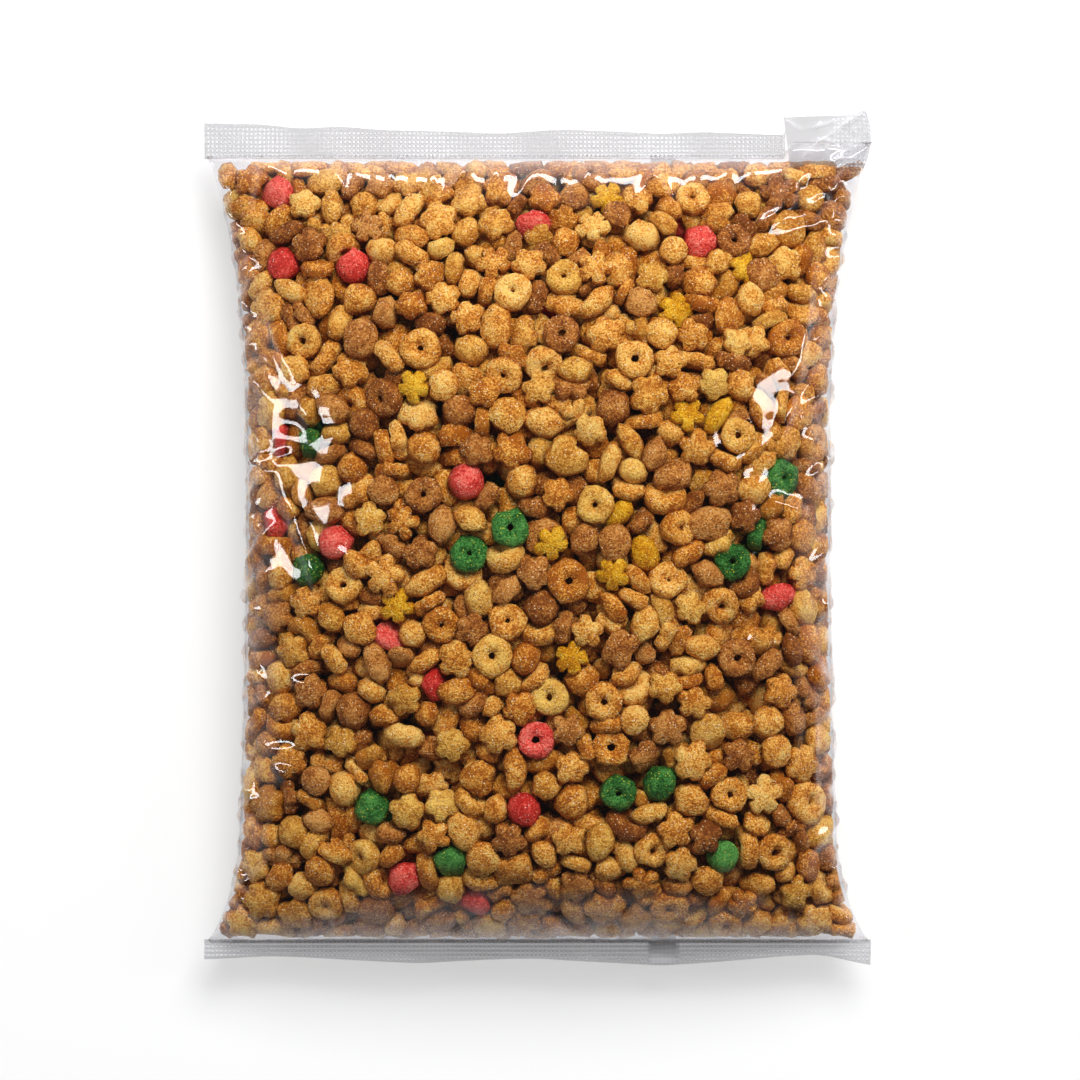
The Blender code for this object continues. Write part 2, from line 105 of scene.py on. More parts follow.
CURVE_POINTS = 81
END_GAP = 1.6
print(f"film {FILM} mm thick, {GIRTH:.0f} mm round, {TOP_EDGE - BOTTOM_EDGE:.0f} mm from end to end")


# %% The fill along the bag
def quarter(distance, reach):
    """A quarter of an ellipse: sqrt(1 - (1 - distance / reach)^2), 0 at a weld and 1 from reach onwards."""
    left = np.clip(1.0 - np.maximum(distance, 0.0) / reach, 0.0, 1.0)
    return np.sqrt(1.0 - left**2)


def fill_along(y):
    """Heights of the fill's underside, its side creases and its top, at places y."""
    above = y - BOTTOM_ROOT
    full = BASE_DEPTH + (FILL_DEPTH - BASE_DEPTH) * np.sin(np.clip(above / BASE_REACH, 0, 1) * np.pi / 2)
    depth = full * quarter(TOP_ROOT - y, TOP_REACH) * quarter(above, BOTTOM_REACH)
    lift = 1.0 - np.minimum(quarter(TOP_ROOT - y, TOP_LIFT_REACH), quarter(above, BOTTOM_LIFT_REACH))
    base = SEAL_HEIGHT * lift
    swell = depth / FILL_DEPTH
    return base - FLOOR_PRESS * swell, base + CREASE_HEIGHT * swell, base + depth


def sections(y, half_width):
    """The back and front outlines at each y: x = w t, z = side + rise (1 - |t|^n)^(1/n)."""
    low, side, high = (v[:, None] for v in fill_along(y))
    t = -np.cos(np.linspace(0.0, np.pi, CURVE_POINTS))[None]
    back = side - (side - low) * (1 - np.abs(t) ** BACK_ROUNDNESS) ** (1 / BACK_ROUNDNESS)
    front = side + (high - side) * (1 - np.abs(t) ** FRONT_ROUNDNESS) ** (1 / FRONT_ROUNDNESS)
    x = half_width[:, None] * t
    return np.stack([x, np.maximum(back, FILM / 2)], -1), np.stack([x, front], -1)


def lengths(outline):
    """The way along each outline from its first point: the sum of its steps so far."""
    steps = np.linalg.norm(np.diff(outline, axis=1), axis=2)
    return np.concatenate([np.zeros((len(outline), 1)), np.cumsum(steps, axis=1)], axis=1)


def half_widths(y):
    """The half width at which the outline is as long as the film: found by halving."""
    low, high = np.full(len(y), 0.3 * HALF_WIDTH), np.full(len(y), HALF_WIDTH)
    for _ in range(26):
        middle = (low + high) / 2
        girth = sum(lengths(o)[:, -1] for o in sections(y, middle))
        low, high = np.where(girth < GIRTH, middle, low), np.where(girth < GIRTH, high, middle)
    return high


# %% A table of the tube, which every later piece is placed from
TUBE_Y = np.linspace(BOTTOM_ROOT, TOP_ROOT, 201)
TUBE_WIDTH = half_widths(TUBE_Y)
TUBE_LOW, TUBE_SIDE, TUBE_HIGH = fill_along(TUBE_Y)


def tube_table(columns):
    """Points of the tube for each y and each flat place: first the back, then the front."""
    table = np.empty((2, len(TUBE_Y), len(columns), 3))
    table[..., 1] = TUBE_Y[None, :, None]
    for side, outline in enumerate(sections(TUBE_Y, TUBE_WIDTH)):
        along = lengths(outline)
        flat = (along / along[:, -1:] - 0.5) * FLAT_WIDTH
        for axis, value in ((0, outline[..., 0]), (2, outline[..., 1])):
            table[side, ..., axis] = [np.interp(columns, f, v) for f, v in zip(flat, value)]
    return table


print(f"tube {FLAT_WIDTH:.0f} mm flat, {2 * TUBE_WIDTH.min():.0f} mm filled, {FILL_DEPTH:.0f} mm deep")


def from_film(p, end_gap=END_GAP):
    """How far each point lies from the film, below 0 inside, and the direction out of the bag.

    s = (|x / w|^n + |z'|^n)^(1/n) is 1 on the film, and (s - 1) / |slope of s| is the distance.
    """
    def scaled(q):
        """The value s of the formula at points q."""
        y = np.clip(q[..., 1], BOTTOM_ROOT + 0.5, TOP_ROOT - 0.5)
        width, low, side, high = (
            np.interp(y, TUBE_Y, v) for v in (TUBE_WIDTH, TUBE_LOW, TUBE_SIDE, TUBE_HIGH)
        )
        over = q[..., 2] > side
        n = np.where(over, FRONT_ROUNDNESS, BACK_ROUNDNESS)
        z = np.where(over, (q[..., 2] - side) / (high - side), (side - q[..., 2]) / (side - low))
        return ((np.abs(q[..., 0]) / width) ** n + z**n) ** (1 / n)

    step = 0.5
    slope = np.stack([
        (scaled(p + step * axis) - scaled(p - step * axis)) / (2 * step) for axis in np.eye(3)
    ], -1)
    size = np.linalg.norm(slope, axis=-1) + 1e-9
    distance = (scaled(p) - 1.0) / size
    outward = slope / size[..., None]
    on_floor = FILM / 2 - p[..., 2]
    floor = on_floor > distance
    outward[floor] = (0.0, 0.0, -1.0)
    distance = np.where(floor, on_floor, distance)
    middle = (TOP_ROOT + BOTTOM_ROOT) / 2
    past = np.abs(p[..., 1] - middle) - (TOP_ROOT - BOTTOM_ROOT) / 2 + end_gap
    end = past > distance
    outward[end] = (0.0, 1.0, 0.0)
    outward[end] *= np.sign(p[end][:, 1:2] - middle)
    return np.where(end, past, distance), outward


# %% [markdown]
# ## The fill
#
# The kibbles are stamped from dough, baked and poured: rings, five-lobed stars, flowers, puffy
# rounds and pillows. Scattering copies over a surface would look like wallpaper, because loose
# things lean on each other, and a rigid-body simulation of three thousand pieces in a bag is slow.
# Here each kibble is seven balls that stay in one flat plate. In every round the balls that
# overlap are moved apart, those outside the film are moved in, and each plate is then turned
# and shifted to fit its balls best. Some two hundred rounds pack the bag.

# %% The shapes: half length, half width, half thickness in millimetres, and how common each is
SHAPES = {
    "star": ((6.8, 6.8, 2.9), 0.34),
    "ring": ((7.0, 7.0, 3.0), 0.11),
    "round": ((5.8, 5.8, 4.0), 0.15),
    "pillow": ((6.7, 4.9, 3.5), 0.15),
    "bean": ((7.4, 4.7, 3.2), 0.12),
    "disc": ((6.2, 6.2, 2.5), 0.10),
    "flower": ((7.0, 7.0, 2.3), 0.03),
}
LARGE = {"heart": (8.4, 8.0, 3.2), "oval": (8.5, 6.5, 3.2), "block": (6.8, 5.0, 3.6)}
KIBBLES = 2980
RIM_KIBBLES = 330
DEEP, DEEP_SIZE = 15.0, 1.12
rng = np.random.default_rng(5)

# Kibbles that stand out although the solid model has no node for them: shape, colour, place
# right of and above the middle in mm, and how far each leans from flat (0) to on edge (1).
EXTRAS = [
    ("disc", "red", -1.8, 111.7, 0.8),
    ("disc", "red", -92.4, 34.3, 0.7),
    ("round", "red", -94.5, 6.0, 0.3),
    ("pillow", "red", 84.7, -19.6, 0.2),
    ("disc", "red", -51.8, -33.3, 1.0),
    ("disc", "red", -35.0, -50.0, 1.0),
    ("round", "green", -80.9, 33.6, 0.6),
    ("disc", "green", 78.4, 1.8, 1.0),
    ("flower", "yellow", 48.0, 80.9, 0.7),
    ("bean", "yellow", 63.0, 42.7, 0.2),
    ("pillow", "yellow", 36.8, -4.2, 0.1),
    ("bean", "yellow", 28.0, 8.5, 0.5),
    ("ring", "brown", -54.0, 49.0, 0.4),
    ("heart", "tan", 10.5, 29.0, 0.0),
    ("block", "brown", 46.9, 22.4, 0.3),
    ("block", "brown", 28.7, -37.5, 0.1),
    ("block", "tan", -8.8, -115.0, 0.1),
    ("oval", "brown", 60.0, 5.6, 0.1),
]

placed = [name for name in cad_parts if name.endswith(tuple("0123456789"))]
low_of, high_of = (np.array([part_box(name)[i] for name in placed]) / MM for i in (0, 1))
placed_at = (low_of + high_of) / 2
special_kind = [name.split("_")[1] for name in placed] + [row[0] for row in EXTRAS]
special_colour = [name.split("_")[0] for name in placed] + [row[1] for row in EXTRAS]
SPECIAL = len(special_kind)
FREE = KIBBLES - SPECIAL
names = list(SHAPES)
kind = np.array([*special_kind, *rng.choice(names, FREE, p=[share for _, share in SHAPES.values()])])
sizes = {**{k: v for k, (v, _) in SHAPES.items()}, **LARGE}
half = np.array([sizes[k] for k in kind])
# A kibble that the solid model holds is as wide as its solid.
placed_half = (high_of - low_of)[:, :2].max(1) / 2
half[:len(placed)] *= (placed_half / half[:len(placed), 0])[:, None]
half[SPECIAL:] *= rng.uniform(0.84, 1.1, (FREE, 1))
half[SPECIAL:] *= rng.uniform(0.93, 1.07, (FREE, 3))
print(KIBBLES, "kibbles,", {k: int((kind == k).sum()) for k in sizes})


# %% Where they start
def scatter(count, margin, depth):
    """Random places that keep this far from the film, and lie within a margin of its outline."""
    found = np.empty((0, 3))
    while len(found) < count:
        tries = rng.uniform((-HALF_WIDTH, BOTTOM_ROOT, 0), (HALF_WIDTH, TOP_ROOT, FILL_DEPTH), (4 * count, 3))
        x, y = np.abs(tries[:, 0]), tries[:, 1]
        plan = np.minimum(np.interp(y, TUBE_Y, TUBE_WIDTH) - x, np.minimum(TOP_ROOT - y, y - BOTTOM_ROOT))
        found = np.concatenate([found, tries[(from_film(tries)[0] < -depth) & (plan < margin)]])
    return found[:count]


def unit(v):
    """Vectors of length 1 in the same directions."""
    return v / np.maximum(np.linalg.norm(v, axis=-1, keepdims=True), 1e-9)


def front_height(x, y):
    """The height of the front film: side + rise (1 - |x / width|^n)^(1/n)."""
    width, side, high = (np.interp(y, TUBE_Y, v) for v in (TUBE_WIDTH, TUBE_SIDE, TUBE_HIGH))
    return side + (high - side) * (1 - np.abs(x / width) ** FRONT_ROUNDNESS) ** (1 / FRONT_ROUNDNESS)


extra_x, extra_y, extra_lean = np.array([row[2:] for row in EXTRAS]).T
extra_half = half[len(placed):SPECIAL]
under = extra_half[:, 2] + extra_lean * (extra_half[:, 0] - extra_half[:, 2]) + 0.6
extra_at = np.stack([extra_x, extra_y, front_height(extra_x, extra_y)], -1)
extra_at -= from_film(extra_at)[1] * under[:, None]
home = np.concatenate([placed_at, extra_at])
centre = np.concatenate([
    home, scatter(FREE - RIM_KIBBLES, HALF_WIDTH, 3.0), scatter(RIM_KIBBLES, 12.0, 2.0)
])
depth, outward = from_film(centre)
deep = depth < -DEEP
half[deep] *= DEEP_SIZE
lean = rng.normal(size=(KIBBLES, 3)) * rng.uniform(0.1, 2.0, (KIBBLES, 1))
lean[:len(placed)] = 0.12 * unit(lean[:len(placed)])
lean[len(placed):SPECIAL] = 4.0 * extra_lean[:, None] ** 2 * unit(lean[len(placed):SPECIAL])
up = unit(outward + lean)
first = unit(np.cross(up, rng.normal(size=(KIBBLES, 3))))
second = np.cross(up, first)
print(f"{SPECIAL} kibbles have their place, {FREE} lie by chance, {deep.sum()} are deep inside")

# %% Pack them
ANGLES = np.arange(6) * np.pi / 3
SPOTS = np.concatenate([[[0.0, 0.0]], np.stack([np.cos(ANGLES), np.sin(ANGLES)], 1)])
FILM_GAP = 0.5
ROUNDS = 220
OVERSHOOT = 1.3
PULL, PULL_REACH, PULL_UNTIL = 0.10, 9.0, 0.92
spots = SPOTS[None] * (half[:, None, :2] - half[:, None, 2:])
ball = half[:, 2]
# Of two that overlap, the one with the larger weight gives way.
weight = np.ones(KIBBLES)
weight[:SPECIAL] = 0.03


def neighbours(places, size):
    """All pairs of kibbles that could touch within the next few rounds."""
    places, size = places.astype(np.float32), size.astype(np.float32)
    sums = (places**2).sum(1)
    gap = sums[:, None] + sums[None] - 2 * places @ places.T
    a, b = np.nonzero(gap < (size[:, None] + size[None]) ** 2)
    return a[a < b], b[a < b]


def gather(index, value, count):
    """Adds up the values of each index, one axis at a time."""
    return np.stack([np.bincount(index, value[:, i], count) for i in range(3)], 1)


for turn in range(ROUNDS):
    grow = min(1.0, 0.55 + 0.45 * turn / (0.55 * ROUNDS))
    if turn % 6 == 0:
        a, b = neighbours(centre, half[:, 0] + 1.3)
    at = centre[:, None] + spots[..., :1] * first[:, None] + spots[..., 1:] * second[:, None]
    apart = at[a][:, :, None] - at[b][:, None]
    reach = ((ball[a] + ball[b]) * grow)[:, None, None]
    near = np.einsum("kijx,kijx->kij", apart, apart)
    pair, i, j = np.nonzero(near < reach**2)
    gap = np.sqrt(near[pair, i, j]) + 1e-6
    push = apart[pair, i, j] * ((reach[pair, 0, 0] - gap) / gap)[:, None]
    share = (weight[a] / (weight[a] + weight[b]))[pair][:, None]
    to_a, to_b = a[pair] * 7 + i, b[pair] * 7 + j
    moved = gather(to_a, push * share, KIBBLES * 7) - gather(to_b, push * (1 - share), KIBBLES * 7)
    hits = np.bincount(to_a, minlength=KIBBLES * 7) + np.bincount(to_b, minlength=KIBBLES * 7)
    at += (moved / np.maximum(hits, 1)[:, None] * OVERSHOOT).reshape(at.shape)
    distance, outward = from_film(centre)
    pull = PULL * np.exp(np.minimum(distance, 0.0) / PULL_REACH) * (turn < PULL_UNTIL * ROUNDS)
    at += (outward * pull[:, None])[:, None]
    distance, outward = from_film(at)
    outside = np.maximum(distance + ball[:, None] * grow + FILM_GAP, 0.0)
    at -= outward * outside[..., None]
    centre = at.mean(1)
    lever = at - centre[:, None]
    along = unit((lever * spots[..., :1]).sum(1))
    across = unit((lever * spots[..., 1:]).sum(1))
    plus, minus = unit(along + across), unit(along - across)
    first, second = unit(plus + minus), unit(plus - minus)
    centre[:SPECIAL] = home
    if turn % 55 == 54:
        overlap = np.mean(reach[pair, 0, 0] - gap)
        print(f"round {turn + 1}: {len(pair)} touching balls, overlap {overlap:.2f} mm")
up = np.cross(first, second)

# %% [markdown]
# ## The shapes of the kibbles
#
# A kibble is a flat slice of dough that puffs up in the oven: its outline stays the shape of the
# die, its faces dome and its rims go round. That is a closed surface of two angles, round the
# outline and over the edge, so one formula makes every shape: only the outline changes.
# Three thousand of them have to share the triangles, so each has a few dozen faces, and the
# crumb comes from the material. Each one is baked a little crooked, so no two are alike.
# A ring is the one shape with a hole: its surface closes round its own section instead.

# %% One formula for every kibble
def lobes(angle, count, depth, roundness):
    """1 at the tip of each lobe, 1 - depth in the notch between two."""
    return 1.0 - depth + depth * np.abs(np.cos(count * angle / 2)) ** roundness


def heart_outline(angle):
    """A heart's distance from its middle: a dip at the top and a point at the bottom."""
    from_top = np.abs((angle - np.pi / 2 + np.pi) % (2 * np.pi) - np.pi)
    return 0.88 - 0.38 * np.exp(-((from_top / 0.42) ** 2)) + 0.20 * np.exp(-(((from_top - np.pi) / 0.5) ** 2))


OUTLINES = {
    "star": (20, lambda angle: lobes(angle, 5, 0.25, 0.75)),
    "flower": (30, lambda angle: lobes(angle, 5, 0.42, 0.5)),
    "round": (12, lambda angle: np.ones_like(angle)),
    "pillow": (12, lambda angle: 1.0 + 0.07 * np.cos(2 * angle) ** 2),
    "bean": (16, lambda angle: 0.84 + 0.16 * np.cos(angle) ** 2),
    "disc": (14, lambda angle: np.ones_like(angle)),
    "oval": (16, lambda angle: 1.0 + 0.04 * np.cos(2 * angle)),
    "block": (16, lambda angle: (np.abs(np.cos(angle)) ** 5 + np.abs(np.sin(angle)) ** 5) ** -0.2),
    "heart": (20, heart_outline),
    "ring": (12, lambda angle: np.ones_like(angle)),
}
EDGE_ANGLES = np.radians([-52.0, -4.0, 46.0])
RIM = {
    "star": 0.40, "flower": 0.36, "round": 0.85, "pillow": 0.75, "bean": 0.75, "disc": 0.36, "oval": 0.5,
    "heart": 0.4, "block": 0.18,
}
RING_PROFILE = np.array([
    (1.0, 0.0), (0.91, 0.82), (0.48, 1.0), (0.0, 0.72), (0.0, -0.72), (0.48, -1.0), (0.91, -0.82),
])
HOLE = 1.25
ROUGH = 0.22


def crooked(count, angle):
    """Each kibble's own outline error: a sum of a few waves round it, with chance phases."""
    waves = np.arange(1, 6)
    phase = rng.uniform(0, 2 * np.pi, (count, len(waves), 1))
    size = rng.uniform(0.0, 0.05, (count, len(waves), 1))
    return 1.0 + (size * np.cos(waves[None, :, None] * angle + phase)).sum(1)


def round_points(angle, radius, height):
    """Points at these angles, distances from the middle and heights: r cos a, r sin a, z."""
    height = np.broadcast_to(height, radius.shape)
    return np.stack([radius * np.cos(angle), radius * np.sin(angle), height], -1)


def solid_shape(kind, half):
    """Poles below and above, rings between: r = outline cos^rim(v), z = thickness sin(v)."""
    corners, outline = OUTLINES[kind]
    angle = np.arange(corners) * 2 * np.pi / corners
    count = len(half)
    reach = outline(angle) * crooked(count, angle)
    v = EDGE_ANGLES[None, :, None]
    radius = reach[:, None] * np.cos(v) ** RIM[kind]
    tilt = 1 + 0.14 * np.cos(angle - rng.uniform(0, 6.28, (count, 1, 1)))
    height = np.sign(v) * np.abs(np.sin(v)) ** 0.75 * tilt
    points = round_points(angle, radius, height)
    poles = np.zeros((count, 2, 3))
    poles[:, :, 2] = rng.uniform(0.78, 1.0, (count, 2)) * (-1, 1)
    points = np.concatenate([points.reshape(count, -1, 3), poles], 1) * half[:, None]
    return points + rng.normal(0, ROUGH, points.shape)


def ring_shape(half):
    """A thick washer with rounded rims: its section's points run from the hole to the rim."""
    corners = OUTLINES["ring"][0]
    angle = np.arange(corners) * 2 * np.pi / corners
    count = len(half)
    hole = HOLE * rng.uniform(0.7, 1.2, (count, 1, 1)) / half[:, :1, None]
    out, height = RING_PROFILE.T[:, None, :, None]
    radius = hole * crooked(count, angle)[:, None] * (1 - out) + out * crooked(count, angle)[:, None]
    points = round_points(angle, radius, height).reshape(count, -1, 3) * half[:, None]
    return points + rng.normal(0, 0.6 * ROUGH, points.shape)


def grid_faces(rows, columns, close_rows=False):
    """Quads of a grid that closes round its columns, and round its rows if asked."""
    r, c = np.meshgrid(np.arange(rows if close_rows else rows - 1), np.arange(columns), indexing="ij")
    up, right = (r + 1) % rows, (c + 1) % columns
    corners = r * columns + c, r * columns + right, up * columns + right, up * columns + c
    return np.stack(corners, -1).reshape(-1, 4)


def cap_faces(rows, columns):
    """Triangles from the lower pole to the first ring and from the last ring to the upper pole."""
    c = np.arange(columns)
    right, last = (c + 1) % columns, (rows - 1) * columns
    low, high = np.full(columns, rows * columns), np.full(columns, rows * columns + 1)
    return np.concatenate([np.stack([low, right, c], -1), np.stack([last + c, last + right, high], -1)])


print("shapes:", *OUTLINES)

# %% A mesh from arrays
def mesh_object(name, points, quads, triangles, finish, **attributes):
    """Puts arrays of points (mm) and faces into a new mesh, smooth, with values for its points."""
    faces = [quads.reshape(-1)]
    sizes_of = [np.full(len(quads), 4)]
    if triangles is not None:
        faces.append(triangles.reshape(-1))
        sizes_of.append(np.full(len(triangles), 3))
    corners, counts = np.concatenate(faces), np.concatenate(sizes_of)
    mesh = bpy.data.meshes.new(name)
    mesh.vertices.add(len(points))
    mesh.vertices.foreach_set("co", (points * MM).astype(np.float32).reshape(-1))
    mesh.loops.add(len(corners))
    mesh.loops.foreach_set("vertex_index", corners.astype(np.int32))
    mesh.polygons.add(len(counts))
    mesh.polygons.foreach_set("loop_start", (np.cumsum(counts) - counts).astype(np.int32))
    mesh.polygons.foreach_set("loop_total", counts.astype(np.int32))
    mesh.update(calc_edges=True)
    mesh.validate()
    mesh.shade_smooth()
    for key, value in attributes.items():
        mesh.attributes.new(key, "FLOAT", "POINT").data.foreach_set("value", value.astype(np.float32))
    piece = bpy.data.objects.new(name, mesh)
    bpy.context.scene.collection.objects.link(piece)
    mesh.materials.append(finish)
    return piece


# %% [markdown]
# ## The crumb
#
# Baked dough has a colour that is never even: the faces that were cut are pale, the rims are
# toasted, and fat and dust leave bright specks between small dark pores. Here the pores are
# painted shade, because the surface has no pits, and the bright specks are partly painted
# highlights that stand in for glints on the fat. All of it is worked out in space, from noise of
# two sizes and a pattern of cells, so each kibble that the pattern passes through differs from
# the next. A value on each kibble, the same all over it, sets how brown it is. Each colour is
# written as the eye sees it and turned into light here.

# %% Helpers for materials
def linear(colour):
    """The colour as light, which is what a shader takes."""
    return tuple(c / 12.92 if c < 0.04045 else ((c + 0.055) / 1.055) ** 2.4 for c in colour) + (1.0,)


class Nodes:
    """A short way to add and join shader nodes."""

    def __init__(self, name):
        """A material that holds nothing but its output."""
        self.material = bpy.data.materials.new(name)
        self.material.use_nodes = True
        self.tree = self.material.node_tree
        self.tree.nodes.clear()
        self.out = self.tree.nodes.new("ShaderNodeOutputMaterial")

    def add(self, kind, inputs=(), **settings):
        """A node of this kind, each input set to a value or joined to another node's output."""
        node = self.tree.nodes.new("ShaderNode" + kind)
        for key, value in settings.items():
            setattr(node, key, value)
        for key, value in dict(inputs).items():
            if hasattr(value, "is_output"):
                self.tree.links.new(value, node.inputs[key])
            else:
                node.inputs[key].default_value = value
        return node

    def math(self, operation, a, b=0.0, c=0.0):
        """One sum of up to three values."""
        return self.add("Math", {0: a, 1: b, 2: c}, operation=operation).outputs[0]

    def ramp(self, value, *stops):
        """A colour ramp through (place, colour) stops."""
        node = self.add("ValToRGB", {0: value})
        elements = node.color_ramp.elements
        while len(elements) < len(stops):
            elements.new(0.5)
        for element, (place, colour) in zip(elements, stops):
            element.position = place
            element.color = linear(colour)
        return node.outputs[0]

    def mix(self, factor, a, b):
        """Colour a where the factor is 0 and colour b where it is 1."""
        return self.add("Mix", {0: factor, 6: a, 7: b}, data_type="RGBA").outputs[2]

    def finish(self, shader):
        """Joins the shader to the output and gives the material."""
        self.tree.links.new(shader, self.out.inputs["Surface"])
        return self.material


def crumb(name, toasted, baked, pale, speck_glint):
    """Baked dough: three browns by noise and own tone, pores of painted shade, specks partly painted
    highlights.
    """
    n = Nodes(name)
    place = n.add("TexCoord").outputs["Object"]
    tone = n.add("Attribute", attribute_name="tone").outputs["Fac"]
    gold = n.add("Attribute", attribute_name="gold").outputs["Fac"]
    rim = n.add("Attribute", attribute_name="rim").outputs["Fac"]
    broad = n.add("TexNoise", {"Vector": place, "Scale": 230.0, "Detail": 2.0}).outputs[0]
    grain = n.add("TexNoise", {"Vector": place, "Scale": 1250.0, "Detail": 2.0, "Roughness": 0.8}).outputs[0]
    cells = n.add("TexVoronoi", {"Vector": place, "Scale": 1200.0}).outputs
    chance = n.add("SeparateColor", {0: cells["Color"]}).outputs
    shade = n.math("MULTIPLY_ADD", n.math("SUBTRACT", broad, 0.5), 1.4, 0.5)
    shade = n.math("MULTIPLY_ADD", tone, 0.30, shade)
    shade = n.math("MULTIPLY_ADD", n.math("SUBTRACT", grain, 0.5), 2.8, shade)
    shade = n.math("MULTIPLY_ADD", rim, -0.26, shade)
    colour = n.ramp(shade, (0.05, toasted), (0.5, baked), (0.95, pale))
    golden = n.ramp(shade, (0.0, (0.74, 0.46, 0.09)), (1.0, (0.99, 0.81, 0.38)))
    colour = n.mix(n.math("MULTIPLY", gold, 0.8), colour, golden)
    # Painted shade: dark spots in some cells stand in for the shade inside pores that the surface lacks.
    pore_shade = n.math("LESS_THAN", cells["Distance"], n.math("MULTIPLY", n.math("SUBTRACT", chance[0], 0.62), 0.9))
    colour = n.mix(n.math("MULTIPLY", pore_shade, 0.55), colour, linear([c * 0.4 for c in toasted]))
    # Bright specks: partly real specks of fat and dust, partly painted highlights for glints on the fat.
    near = n.math("LESS_THAN", cells["Distance"], 0.30)
    fleck_glint = n.math("MULTIPLY", near, n.math("GREATER_THAN", chance[1], 0.80))
    colour = n.mix(n.math("MULTIPLY", fleck_glint, 0.75), colour, linear(speck_glint))
    bump = n.add("Bump", {"Height": grain, "Strength": 1.0, "Distance": 0.0012}).outputs[0]
    shader = n.add("BsdfPrincipled", {
        "Base Color": colour, "Roughness": 0.5, "Normal": bump, "Specular IOR Level": 0.45,
    })
    return n.finish(shader.outputs[0])


# Each dough: toasted, baked, pale, and its bright specks, which are partly painted highlights.
CRUMBS = {
    "tan": crumb(
        "tan_crumb", (0.66, 0.34, 0.05), (0.93, 0.62, 0.22), (1.0, 0.83, 0.46), (1.0, 0.96, 0.80),
    ),
    "brown": crumb(
        "brown_crumb", (0.48, 0.24, 0.06), (0.74, 0.45, 0.17), (0.88, 0.64, 0.33), (0.98, 0.89, 0.70),
    ),
    "yellow": crumb(
        "mustard_crumb", (0.76, 0.47, 0.02), (0.93, 0.68, 0.09), (0.98, 0.80, 0.26), (0.99, 0.93, 0.55),
    ),
    "red": crumb(
        "red_crumb", (0.76, 0.15, 0.11), (0.95, 0.31, 0.26), (0.99, 0.52, 0.44), (1.0, 0.82, 0.74),
    ),
    "green": crumb(
        "green_crumb", (0.09, 0.26, 0.07), (0.22, 0.48, 0.19), (0.38, 0.63, 0.30), (0.88, 0.84, 0.25),
    ),
}
print("crumbs:", *CRUMBS)


# %% [markdown]
# ## From bodies to kibbles
#
# The packing says where each kibble lies and how it is turned. Here the surfaces are set there.
# A corner that would come through the film is moved back under it, as the film would do.
# Kibbles of one shape and colour become one mesh, because three thousand objects are slow to
# handle, and each such mesh stands for the solids of that shape and colour, and for the bed.

# %% The colours
# Free kibbles are tan or brown, and a few that lie deeper than this are red or green.
INSIDE, BRIGHT_INSIDE = 16.0, 20
colour = np.array([*special_colour, *rng.choice(["tan", "brown"], FREE, p=[0.76, 0.24])])
free = np.arange(KIBBLES) >= SPECIAL
inside = free & (from_film(centre)[0] < -INSIDE)
colour[rng.permutation(np.nonzero(inside & (kind == "round"))[0])[:BRIGHT_INSIDE]] = "red"
colour[rng.permutation(np.nonzero(inside & (kind == "ring"))[0])[:BRIGHT_INSIDE]] = "green"
# The tone makes a kibble paler or browner, and gold moves a tan one towards yellow.
tone = rng.normal(0, 0.5, KIBBLES).clip(-1.1, 1.1)
gold = rng.uniform(0, 1, KIBBLES) ** 4 * (colour == "tan")
GOLDEN_STARS = [(39, 92), (-69, -69), (-46, -55), (-29, -71), (-33, -91), (63, 53)]
for x, y in GOLDEN_STARS:
    gold[np.argmin(np.hypot(*(home[:len(placed), :2] - (x, y)).T))] = 0.9
print({shade: int((colour == shade).sum()) for shade in CRUMBS})

# %% Set the surfaces in place
UNDER_FILM, UNDER_WELD = 0.35, 0.2


def turned(local, which):
    """Local points moved to their kibble's place: c + x e1 + y e2 + z e3."""
    axes = np.stack([first[which], second[which], up[which]], 1)
    return centre[which][:, None] + np.einsum("kpi,kij->kpj", local, axes)


def under_film(points):
    """Points moved back so that none is nearer the film than UNDER_FILM."""
    for _ in range(4):
        distance, out = from_film(points, UNDER_WELD)
        points = points - out * np.maximum(distance + UNDER_FILM, 0.0)[..., None]
    return points


def kibble_mesh(shape, shade, which):
    """All kibbles of one shape and one colour, as one object."""
    corners = OUTLINES[shape][0]
    if shape == "ring":
        rows = len(RING_PROFILE)
        local, quads, triangles = ring_shape(half[which]), grid_faces(rows, corners, True), None
    else:
        local, rows = solid_shape(shape, half[which]), len(EDGE_ANGLES)
        quads, triangles = grid_faces(rows, corners), cap_faces(rows, corners)
    count, size = local.shape[:2]
    edge = np.abs(local[..., 2] / half[which][:, 2:])
    shift = (np.arange(count) * size)[:, None, None]
    points = under_film(turned(local, which)).reshape(-1, 3)
    if triangles is not None:
        triangles = (triangles[None] + shift).reshape(-1, 3)
    piece = mesh_object(
        f"{shade}_{shape}_kibbles", points, (quads[None] + shift).reshape(-1, 4), triangles, CRUMBS[shade],
        tone=np.repeat(tone[which], size), gold=np.repeat(gold[which], size),
        rim=(1.0 - edge).clip(0, 1).reshape(-1),
    )
    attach(piece, "root")
    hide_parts("kibble_bed", *[placed[k] for k in which if k < len(placed)])
    return piece, points


kibble_pieces, kibble_points = [], []
for shade in CRUMBS:
    for shape in OUTLINES:
        which = np.nonzero((kind == shape) & (colour == shade))[0]
        if len(which):
            piece, points = kibble_mesh(shape, shade, which)
            kibble_pieces.append(piece)
            kibble_points.append(points)
kibble_points = np.concatenate(kibble_points)
print(len(kibble_pieces), "meshes,", sum(len(p.data.polygons) for p in kibble_pieces), "faces")


# %% [markdown]
# ## The film
#
# The film is pulled tight by the weight of the fill, so it touches the outermost kibbles and dips a
# little between them. Towards the flat ends it has too much width for its length and puckers, and
# along the sides, where it turns under, it buckles into small diamonds. Those breaks are
# what catches the light: a perfectly smooth film would show one broad reflection and look like glass.
# So the surface is the tube, minus the dips, plus folds with two flat sides along a list of lines:
# a flat side catches a lamp as a whole, which gives the spindles and triangles of light.
# A cloth simulation would crumple it too, but not in the places where the real one is crumpled.

